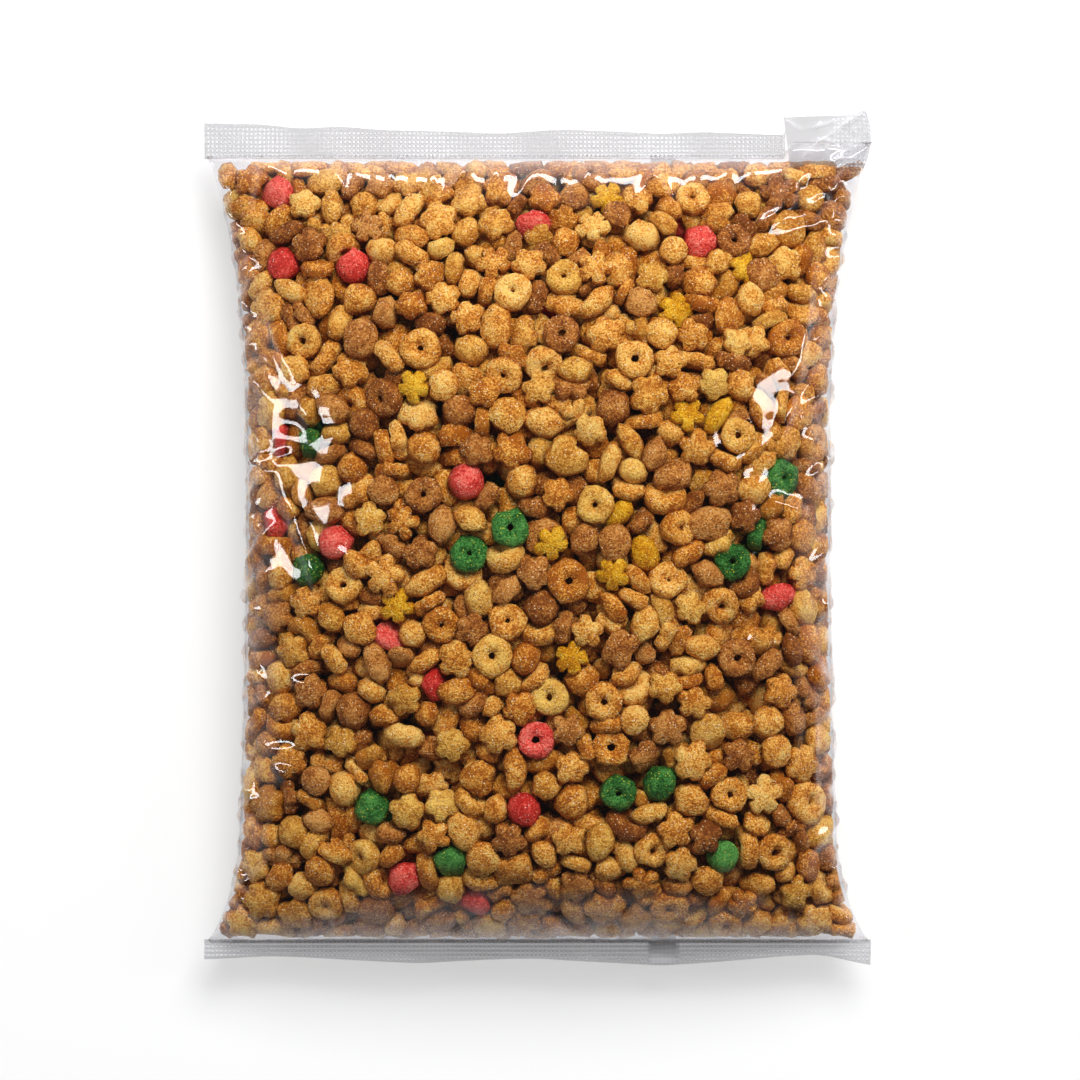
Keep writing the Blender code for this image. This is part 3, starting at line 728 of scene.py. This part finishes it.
# %% The film's clear finish
def film_finish(name, tint, milk_grey, roughness):
    """Clear film: what lies behind shows through, and a gloss lies over it.

    The gloss is Schlick's rule, 0.04 + 0.96 (1 - cos)^5 at each face of the film.
    The haze of a weld or a crease is a share of grey scatter, kept as a value on each point.
    """
    n = Nodes(name)
    clear = n.add("BsdfTransparent", {"Color": (tint, tint, tint * 1.01, 1.0)}).outputs[0]
    gloss = n.add("BsdfGlossy", {"Color": (1.0, 1.0, 1.0, 1.0), "Roughness": roughness}).outputs[0]
    milk = n.add("BsdfDiffuse", {"Color": (milk_grey, milk_grey, milk_grey * 1.03, 1.0)}).outputs[0]
    haze = n.add("Attribute", attribute_name="haze").outputs["Fac"]
    body = n.add("MixShader", {0: haze, 1: clear, 2: milk}).outputs[0]
    facing = n.add("LayerWeight", {"Blend": 0.5}).outputs["Facing"]
    share = n.math("MULTIPLY_ADD", n.math("POWER", facing, 5.0), 0.96, 0.04)
    return n.finish(n.add("MixShader", {0: share, 1: body, 2: gloss}).outputs[0])


film_clear = film_finish("clear_film", 0.985, 0.80, 0.05)

# %% How far the film sinks between the kibbles
FRONT_COLUMNS = np.linspace(-HALF_WIDTH, HALF_WIDTH, 161)
BACK_COLUMNS = np.linspace(-HALF_WIDTH, HALF_WIDTH, 61)
MOST_SINK = 0.6
back_table = tube_table(BACK_COLUMNS)[0]
front_table = tube_table(FRONT_COLUMNS)[1]
ROW_STEP = TUBE_Y[1] - TUBE_Y[0]


def spread(values, blend):
    """Each value blended with its eight neighbours by the function blend."""
    padded = np.pad(values, 1, mode="edge")
    rows, columns = values.shape
    return blend([padded[i:i + rows, j:j + columns] for i in range(3) for j in range(3)], axis=0)


def sinking(table, columns, points, distance):
    """The gap from the tube to the nearest kibble under each grid point, smoothed."""
    row = np.rint((points[:, 1] - TUBE_Y[0]) / ROW_STEP).astype(int).clip(0, len(TUBE_Y) - 1)
    share = (points[:, 0] - table[row, 0, 0]) / (table[row, -1, 0] - table[row, 0, 0])
    middle = table[len(TUBE_Y) // 2, :, 0]
    middle = (middle - middle[0]) / (middle[-1] - middle[0])
    column = np.rint(np.interp(share, middle, np.arange(len(columns)))).astype(int)
    nearest = np.full(table.shape[:2], -6.0)
    np.maximum.at(nearest, (row, column), distance)
    for blend in (np.max, np.max, np.mean, np.mean, np.mean):
        nearest = spread(nearest, blend)
    return (-nearest - UNDER_FILM).clip(0.0, MOST_SINK)


kibble_distance = from_film(kibble_points)[0]
kibble_side = np.interp(kibble_points[:, 1], TUBE_Y, TUBE_SIDE)
is_front = kibble_points[:, 2] > kibble_side
sink_front = sinking(front_table, FRONT_COLUMNS, kibble_points[is_front], kibble_distance[is_front])
sink_back = sinking(back_table, BACK_COLUMNS, kibble_points[~is_front], kibble_distance[~is_front])
print(f"film sinks {sink_front.mean():.2f} mm on average, {sink_front.max():.2f} mm at most")


# %% Ridges along lines
def ridge(flat, y, line, height, width):
    """A fold with two flat sides along a line: height * taper * (1 - distance / width), from 0 up."""
    (x0, y0), (x1, y1) = line
    dx, dy = x1 - x0, y1 - y0
    along = ((flat - x0) * dx + (y - y0) * dy) / (dx * dx + dy * dy)
    clipped = along.clip(0.0, 1.0)
    away = np.hypot(flat - x0 - clipped * dx, y - y0 - clipped * dy)
    taper = np.sin(np.pi * clipped) ** 0.7
    return height * taper * (1.0 - away / width).clip(0.0)


def chance_lines(seed):
    """Puckers below both welds and crossed buckles down both sides, in (flat, y) millimetres."""
    chance = np.random.default_rng(seed)
    lines = []
    for root, into, count, longest in ((TOP_ROOT, -1, 30, 26.0), (BOTTOM_ROOT, 1, 22, 16.0)):
        for place in np.linspace(-108, 108, count) + chance.uniform(-4, 4, count):
            length = chance.uniform(0.35, 1.0) * longest
            lean = chance.normal(0, 0.35) - place / 400
            line = ((place, root + into), (place + lean * length, root + into * length))
            lines.append((line, chance.uniform(0.4, 1.8), chance.uniform(2.0, 4.5)))
    for side in (-1, 1):
        for y in np.arange(-128, 126, 8.5):
            for turn in (-1, 1):
                at, run = y + chance.uniform(-3, 3), chance.uniform(9, 24)
                far = (side * (HALF_WIDTH - run), at + turn * run * chance.uniform(0.5, 1.1))
                line = ((side * HALF_WIDTH, at), far)
                lines.append((line, chance.uniform(0.6, 2.0), chance.uniform(2.2, 4.4)))
    return lines


# The long creases of the front, each a line between two points and how far it stands out.
LONG_CREASES = [
    (((-93.1, 79.8), (-82.3, 51.8)), 1.6, 3.5),
    (((-82.3, 51.8), (-76.3, 35.0)), 1.4, 3.1),
    (((-91.4, 28.0), (-84.4, 29.8)), 1.2, 2.6),
    (((-91.0, 28.0), (-69.3, -30.8)), 1.6, 4.0),
    (((-85.1, -49.0), (-75.6, -49.7)), 1.2, 2.6),
    (((-93.8, -72.8), (-82.3, -72.5)), 1.2, 2.9),
    (((-91.4, -78.8), (-83.3, -82.3)), 1.4, 3.5),
    (((-102.6, 126.0), (-99.0, 120.8)), 1.4, 3.1),
    (((93.8, 97.3), (88.2, 50.1)), 1.7, 4.0),
    (((88.2, 50.1), (82.6, 34.3)), 1.5, 3.3),
    (((79.5, 14.0), (93.5, 8.8)), 1.3, 3.1),
    (((95.5, -55.3), (93.8, -93.8)), 1.5, 3.3),
    (((98.0, -111.6), (102.6, -126.0)), 1.5, 3.5),
    (((107.4, 124.3), (72.5, 105.0)), 2.2, 4.8),
    (((72.5, 105.0), (66.0, 92.0)), 1.6, 4.0),
    (((116.9, 136.5), (91.7, 120.8)), 2.0, 3.5),
    (((91.7, 120.8), (74.2, 107.0)), 1.6, 3.5),
]


def crest(flat, y):
    """All ridges together."""
    middle = front_table[len(TUBE_Y) // 2, :, 0]
    total = np.zeros(flat.shape)
    for ((x0, y0), (x1, y1)), height, width in LONG_CREASES:
        ends = np.interp([x0, x1], middle, FRONT_COLUMNS)
        total += ridge(flat, y, ((ends[0], y0), (ends[1], y1)), height, width)
    for line, height, width in chance_lines(8):
        total += ridge(flat, y, line, height, width)
    return total


print(len(LONG_CREASES), "long creases and", len(chance_lines(8)), "small folds")

# %% The end seals' wave and the folded corner
SEAL_WAVE, WAVE_LENGTH = 1.6, 68.0
FOLD_START = HALF_WIDTH - 31.0
FOLD_STEP, FOLD_LIFT, FOLD_REACH = 2.0, 5.0, 14.0


def end_shift(flat, y):
    """How the end seals wave up and down, and how the folded corner is lifted: a shift in y and z."""
    past = np.maximum(np.maximum(y - TOP_ROOT, BOTTOM_ROOT - y), 0.0)
    share = past / np.where(y > 0, TOP_SEAL, BOTTOM_SEAL)
    wave = SEAL_WAVE * share * np.sin(flat / WAVE_LENGTH * 2 * np.pi + 0.6)
    into = ((flat - FOLD_START) / FOLD_STEP).clip(0, 1) * ((y - TOP_ROOT) / FOLD_REACH + 1.0).clip(0, 1)
    return FOLD_RISE * into, wave + FOLD_LIFT * into


print(f"end seals wave by {SEAL_WAVE} mm, and the corner is folded from x = {FOLD_START:.0f} mm")

# %% Put the film together
FIN_X, FIN_WIDTH = 39.5, 9.0
FIN_RISE = 0.34
END_HAZE, END_HAZE_REACH = 0.16, 3.0


def film_sheet(table, columns, sink, crests):
    """The tube's points, moved out by crest - sink, over the fin and with the ends' shift."""
    flat, y = np.broadcast_to(columns, table.shape[:2]), table[..., 1]
    end = np.minimum(np.abs(TOP_ROOT - y), np.abs(y - BOTTOM_ROOT))
    calm = (1 - np.exp(-end / 1.5)) * (1 - np.exp(-(HALF_WIDTH - np.abs(flat)) / 3.0))
    out = (crests * crest(flat, y) - sink) * calm
    points = table + from_film(table)[1] * out[..., None]
    fin = np.exp(-(((flat - FIN_X - FIN_WIDTH / 2) / (0.62 * FIN_WIDTH)) ** 6)) * (1 - crests)
    shift_y, shift_z = end_shift(flat, y)
    points[..., 1] += shift_y
    points[..., 2] += shift_z + FIN_RISE * fin
    points[..., 2] = np.maximum(points[..., 2], FILM / 2 + FIN_RISE * fin)
    return points


front = film_sheet(front_table, FRONT_COLUMNS, sink_front, 1.0)
back = film_sheet(back_table, BACK_COLUMNS, 0.5 * sink_back, 0.0)
wrap = np.concatenate([front, back[:, -2:0:-1]], 1)
rows, across = wrap.shape[:2]
from_end = np.minimum(TOP_ROOT - TUBE_Y, TUBE_Y - BOTTOM_ROOT)
haze = np.repeat(END_HAZE * np.exp(-from_end / END_HAZE_REACH), across)
film = mesh_object(
    "clear_film_tube", wrap.reshape(-1, 3), grid_faces(rows, across), None, film_clear, haze=haze
)
wall = film.modifiers.new("film thickness", "SOLIDIFY")
wall.thickness = FILM * MM
wall.offset = 0.0
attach(film, "root")
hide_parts("film_bag")
print(f"film of {rows} x {across} points")

# %% [markdown]
# ## The welded ends
#
# A heated jaw presses the two films together and leaves its own pattern: small raised squares in
# rows. Light catches each one, so a weld looks frosted although the film is clear.
# The relief is modelled here, because it is what the ends look like from close by. Its raised
# places are also made milkier, partly as painted glints.
# The outline is not straight: the heat shrinks the film and the two ends curl.

# %% A closed slab between two surfaces
weld_finish = film_finish("frosted_weld", 0.79, 0.95, 0.12)


def slab(name, upper, lower, haze):
    """Closes two grids of points, one over the other, with a rim all round."""
    rows, columns = upper.shape[:2]
    top = np.arange(rows * columns).reshape(rows, columns)
    faces = np.stack([top[:-1, :-1], top[:-1, 1:], top[1:, 1:], top[1:, :-1]], -1).reshape(-1, 4)
    loop = np.concatenate([top[0], top[1:, -1], top[-1, -2::-1], top[-2:0:-1, 0]])
    after = np.roll(loop, -1)
    rim = np.stack([loop, loop + top.size, after + top.size, after], -1)
    quads = np.concatenate([faces, faces[:, [0, 3, 2, 1]] + top.size, rim])
    points = np.concatenate([upper.reshape(-1, 3), lower.reshape(-1, 3)])
    haze = np.tile(np.broadcast_to(haze, upper.shape[:2]).reshape(-1), 2)
    piece = mesh_object(name, points, quads, None, weld_finish, haze=haze)
    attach(piece, "root")
    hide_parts("film_bag")
    return piece


def waffle(x, y, pitch):
    """Raised squares in rows: 1.6 (1/2 + cos(x) / 2) (1/2 + cos(y) / 2) - 0.2, kept from 0 to 1."""
    wave = (0.5 + 0.5 * np.cos(2 * np.pi * x / pitch)) * (0.5 + 0.5 * np.cos(2 * np.pi * y / pitch))
    return (1.6 * wave - 0.2).clip(0, 1)


TOP_OUTLINE = [
    (-117, 146.0), (-97, 145.9), (-84, 144.3), (-69, 144.9), (-55, 143.6), (-27, 143.2), (-13, 142.5),
    (7, 143.8), (28, 143.2), (43, 142.5), (57, 143.1), (81, 142.0), (117, 142.2),
]
BOTTOM_OUTLINE = [
    (-117, -147.0), (-95, -146.0), (-83, -146.3), (-55, -147.7), (-41, -148.4), (-13, -147.0),
    (0, -146.7), (29, -148.4), (43, -149.4), (57, -148.4), (85, -145.9), (99, -145.3), (117, -149.4),
]
SEAL_STEP = 0.375
WELD = 0.3
WELD_HAZE, RELIEF_HAZE_AND_GLINT = 0.02, 4.0


def weld_band(name, root, outline, last, rows, relief):
    """A welded end up to x = last: rows from the root to the outline, relief above and below."""
    columns = np.arange(-HALF_WIDTH, last + 0.01, SEAL_STEP)
    edge = np.interp(columns, *np.array(outline).T)
    edge = np.convolve(np.pad(edge, 12, mode="edge"), np.ones(25) / 25, "valid")
    inner = root - 1.2 * np.sign(root)
    share = np.linspace(0, 1, rows)[:, None]
    y = inner + (edge - inner) * share
    x = np.broadcast_to(columns, y.shape)
    shift_y, shift_z = end_shift(x, y)
    raised = relief(x, y) * np.minimum(1.0, 8 * share * (1 - share))
    # The raised places get more milky haze: partly a frosted weld, partly painted glints on the squares.
    haze = WELD_HAZE + RELIEF_HAZE_AND_GLINT * raised
    middle = np.stack([x, y + shift_y, SEAL_HEIGHT + shift_z], -1)
    up = np.array([0.0, 0.0, 1.0])
    if root < 0:
        middle = middle[::-1]
        raised, haze = raised[::-1], haze[::-1]
    upper = middle + up * (WELD / 2 + raised)[..., None]
    lower = middle - up * (WELD / 2 + 0.3 * raised)[..., None]
    return slab(name, upper, lower, haze)


def patches(x, y):
    """Where the jaw pressed harder: slow waves of 40 and 90 mm along the weld."""
    return (0.5 + 0.5 * np.sin(x / 6.4 + 0.08 * y) * np.sin(x / 14.0 + 1.0)) ** 0.8


def top_relief(x, y):
    """Squares in rows, 0.18 mm high at most, and lower where the jaw pressed less."""
    return 0.18 * waffle(x, y, 1.5) * (0.2 + 0.8 * patches(x, y))


def bottom_relief(x, y):
    """Ribs along the weld, low squares, and a step where the fin runs under the weld."""
    fin = np.exp(-(((x - FIN_X - FIN_WIDTH / 2) / (0.55 * FIN_WIDTH)) ** 6))
    ribs = 0.07 * (0.5 + 0.5 * np.cos(2 * np.pi * y / 1.5)) * (0.4 + 0.6 * patches(x, y))
    return ribs + 0.06 * waffle(x, y, 1.5) + 0.2 * fin


top_weld = weld_band("top_weld", TOP_ROOT, TOP_OUTLINE, FOLD_START + 0.8, 31, top_relief)
bottom_weld = weld_band("bottom_weld", BOTTOM_ROOT, BOTTOM_OUTLINE, HALF_WIDTH, 27, bottom_relief)
print("welds:", len(top_weld.data.polygons), "and", len(bottom_weld.data.polygons), "faces")

# %% [markdown]
# ## The folded corner and the fin
#
# One corner of the top weld was caught and folded over, so it lies double and stands up
# a little. The fin is the seam along the back, where the two edges of the film were
# welded to make the tube. It lies folded flat under the bag.

# %% The folded corner
FLAP_BOTTOM = [(88.0, 130.2), (101.0, 130.8), (113.8, 130.2)]
FLAP_TOP = [(85.8, 147.7), (107.5, 148.4), (114.4, 150.1)]
FLAP_BULGE = 2.2
FLAP_THICKNESS = 0.24
FLAP_CREASES = [
    (((85.5, 147.6), (91.8, 143.0)), 1.0, 1.8),
    (((107.7, 147.2), (91.0, 143.0)), 0.9, 1.6),
    (((114.0, 150.4), (103.6, 142.6)), 1.4, 2.0),
    (((104.6, 143.4), (94.9, 136.9)), 1.2, 1.6),
    (((95.6, 137.6), (90.6, 131.5)), 1.0, 1.6),
    (((105.4, 138.6), (95.2, 140.2)), 0.8, 1.4),
    (((113.6, 134.0), (98.0, 132.6)), 0.8, 1.6),
]


def between(points, share):
    """Points along a line of a few points, by share of its length in x."""
    x, y = np.array(points).T
    along = (x - x[0]) / (x[-1] - x[0])
    return np.interp(share, along, x), np.interp(share, along, y)


def crinkles(count):
    """Short chance folds over the flap, each a line, a height and a width."""
    chance = np.random.default_rng(3)
    start = chance.uniform((87, 131), (114, 148), (count, 2))
    end = start + chance.normal(0, 4.5, (count, 2))
    heights, widths = chance.uniform(-0.5, 0.6, count), chance.uniform(0.9, 2.2, count)
    return list(zip(zip(start, end), heights, widths))


across, upward = np.meshgrid(np.linspace(0, 1, 81), np.linspace(0, 1, 55))
low_x, low_y = between(FLAP_BOTTOM, across)
high_x, high_y = between(FLAP_TOP, across)
flap_x = low_x + (high_x - low_x) * upward + FLAP_BULGE * across**3 * np.sin(np.pi * upward) ** 0.8
flap_y = low_y + (high_y - low_y) * upward
flap_z = SEAL_HEIGHT + FOLD_LIFT + 0.9 + 0.25 * np.sin(flap_x / 2.3 + flap_y / 3.1)
crinkle = sum(ridge(flap_x, flap_y, *crease) for crease in FLAP_CREASES + crinkles(24))
dots = waffle(flap_x, flap_y, 1.5) * (across > 0.6)
flap_z = flap_z + crinkle + 0.10 * dots
flap = np.stack([flap_x, flap_y, flap_z], -1)
# Milkier along the crinkles and on the raised squares; on the squares it is partly painted glint.
flap_haze_and_glint = (0.05 + 0.16 * np.abs(crinkle) + 0.30 * dots).clip(0.0, 0.6)
slab("folded_corner", flap, flap - (0, 0, FLAP_THICKNESS), flap_haze_and_glint)
print("box of the folded corner, mm:", flap.min((0, 1)).round(1), flap.max((0, 1)).round(1))

# %% The fin
FIN_THICKNESS, FIN_HAZE = 0.2, 0.10
fin_top = tube_table(FIN_X + np.linspace(0, FIN_WIDTH, 13))[0]
fin_top[..., 2] = np.maximum(fin_top[..., 2], 0.1) + 0.12
slab("back_fin", fin_top, fin_top - (0, 0, FIN_THICKNESS), FIN_HAZE)
print(f"fin {FIN_WIDTH} mm wide, from x = {FIN_X} mm")

# %% [markdown]
# ## Stage, light and camera
#
# The photo is cut out on white. The floor is a pale matt plane that also glows a little where the
# camera sees it, so it reads as white and still keeps a soft shadow of the bag. A big soft
# lamp gives the even light. Two strips low at the sides are there for the film: their
# mirror images are the streaks down both sides, and a third makes the glare under the top weld.

# %% The floor
n = Nodes("pale_floor")
pale = n.add("BsdfDiffuse", {"Color": (0.92, 0.92, 0.92, 1.0)}).outputs[0]
white = n.add("Emission", {"Color": (1.0, 1.0, 1.0, 1.0)}).outputs[0]
seen = n.math("MULTIPLY", n.add("LightPath").outputs["Is Camera Ray"], 0.55)
floor_finish = n.finish(n.add("MixShader", {0: seen, 1: pale, 2: white}).outputs[0])
corners = 3000.0 * np.array([[-1, -1, 0], [1, -1, 0], [1, 1, 0], [-1, 1, 0]]) - (0, 0, 0.05)
floor = mesh_object("floor", corners, np.array([[0, 1, 2, 3]]), None, floor_finish)

# %% The camera
# One pixel of the photo is 0.35 mm at half the bag's visible height.
PHOTO_SIZE = 1080
MM_PER_PIXEL = 0.35
SCALE_HEIGHT = 22.0
DISTANCE = 1700.0
MIDDLE_X = 0.7
camera = bpy.data.objects.new("camera", bpy.data.cameras.new("camera"))
bpy.context.scene.collection.objects.link(camera)
camera.location = (MIDDLE_X * MM, 0.0, DISTANCE * MM)
camera.data.sensor_width = 36.0
camera.data.lens = 36.0 * (DISTANCE - SCALE_HEIGHT) / (PHOTO_SIZE * MM_PER_PIXEL)
camera.data.clip_end = 20.0
bpy.context.scene.camera = camera
print(f"camera {DISTANCE:.0f} mm up, lens {camera.data.lens:.1f} mm")


# %% The lamps
def softbox(name, place, size, brightness, in_gloss=True):
    """An area lamp that looks at the bag, with a face of this brightness: power = pi x area x it."""
    lamp = bpy.data.lights.new(name, "AREA")
    lamp.shape = "RECTANGLE"
    lamp.size, lamp.size_y = size
    lamp.energy = math.pi * size[0] * size[1] * brightness
    box = bpy.data.objects.new(name, lamp)
    box.location = place
    box.rotation_euler = (-box.location).to_track_quat("-Z", "Y").to_euler()
    box.visible_glossy = in_gloss
    bpy.context.scene.collection.objects.link(box)


softbox("key_softbox", (0.25, 0.85, 1.15), (0.7, 0.7), 17.5, in_gloss=False)
softbox("left_strip", (-1.05, 0.10, 0.62), (0.14, 0.9), 8.5)
softbox("right_strip", (1.05, 0.20, 0.66), (0.14, 0.8), 8.5)
softbox("top_strip", (0.10, 1.30, 0.20), (0.9, 0.14), 10.0)
print("lamps:", *[light.name for light in bpy.data.lights])

# %% The world: a low even light, and a pale horizon for what the film mirrors
world = bpy.data.worlds.new("studio")
world.use_nodes = True
tree = world.node_tree
tree.nodes.clear()
ground = tree.nodes.new("ShaderNodeTexCoord")
split = tree.nodes.new("ShaderNodeSeparateXYZ")
horizon = tree.nodes.new("ShaderNodeMapRange")
path = tree.nodes.new("ShaderNodeLightPath")
shine = tree.nodes.new("ShaderNodeMath")
matt = tree.nodes.new("ShaderNodeMath")
total = tree.nodes.new("ShaderNodeMath")
background = tree.nodes.new("ShaderNodeBackground")
output = tree.nodes.new("ShaderNodeOutputWorld")
shine.operation, matt.operation, total.operation = "MULTIPLY", "MULTIPLY_ADD", "ADD"
horizon.inputs["From Min"].default_value = 0.45
horizon.inputs["From Max"].default_value = 0.0
horizon.inputs["To Max"].default_value = 0.75
matt.inputs[1].default_value = -0.08
matt.inputs[2].default_value = 0.12
background.inputs["Color"].default_value = (0.94, 0.97, 1.0, 1.0)
for start, end in (
    (ground.outputs["Generated"], split.inputs[0]),
    (split.outputs["Z"], horizon.inputs["Value"]),
    (horizon.outputs[0], shine.inputs[0]),
    (path.outputs["Is Glossy Ray"], shine.inputs[1]),
    (path.outputs["Is Glossy Ray"], matt.inputs[0]),
    (shine.outputs[0], total.inputs[0]),
    (matt.outputs[0], total.inputs[1]),
    (total.outputs[0], background.inputs["Strength"]),
    (background.outputs[0], output.inputs["Surface"]),
):
    tree.links.new(start, end)
bpy.context.scene.world = world
bpy.context.scene.view_settings.view_transform = "Standard"
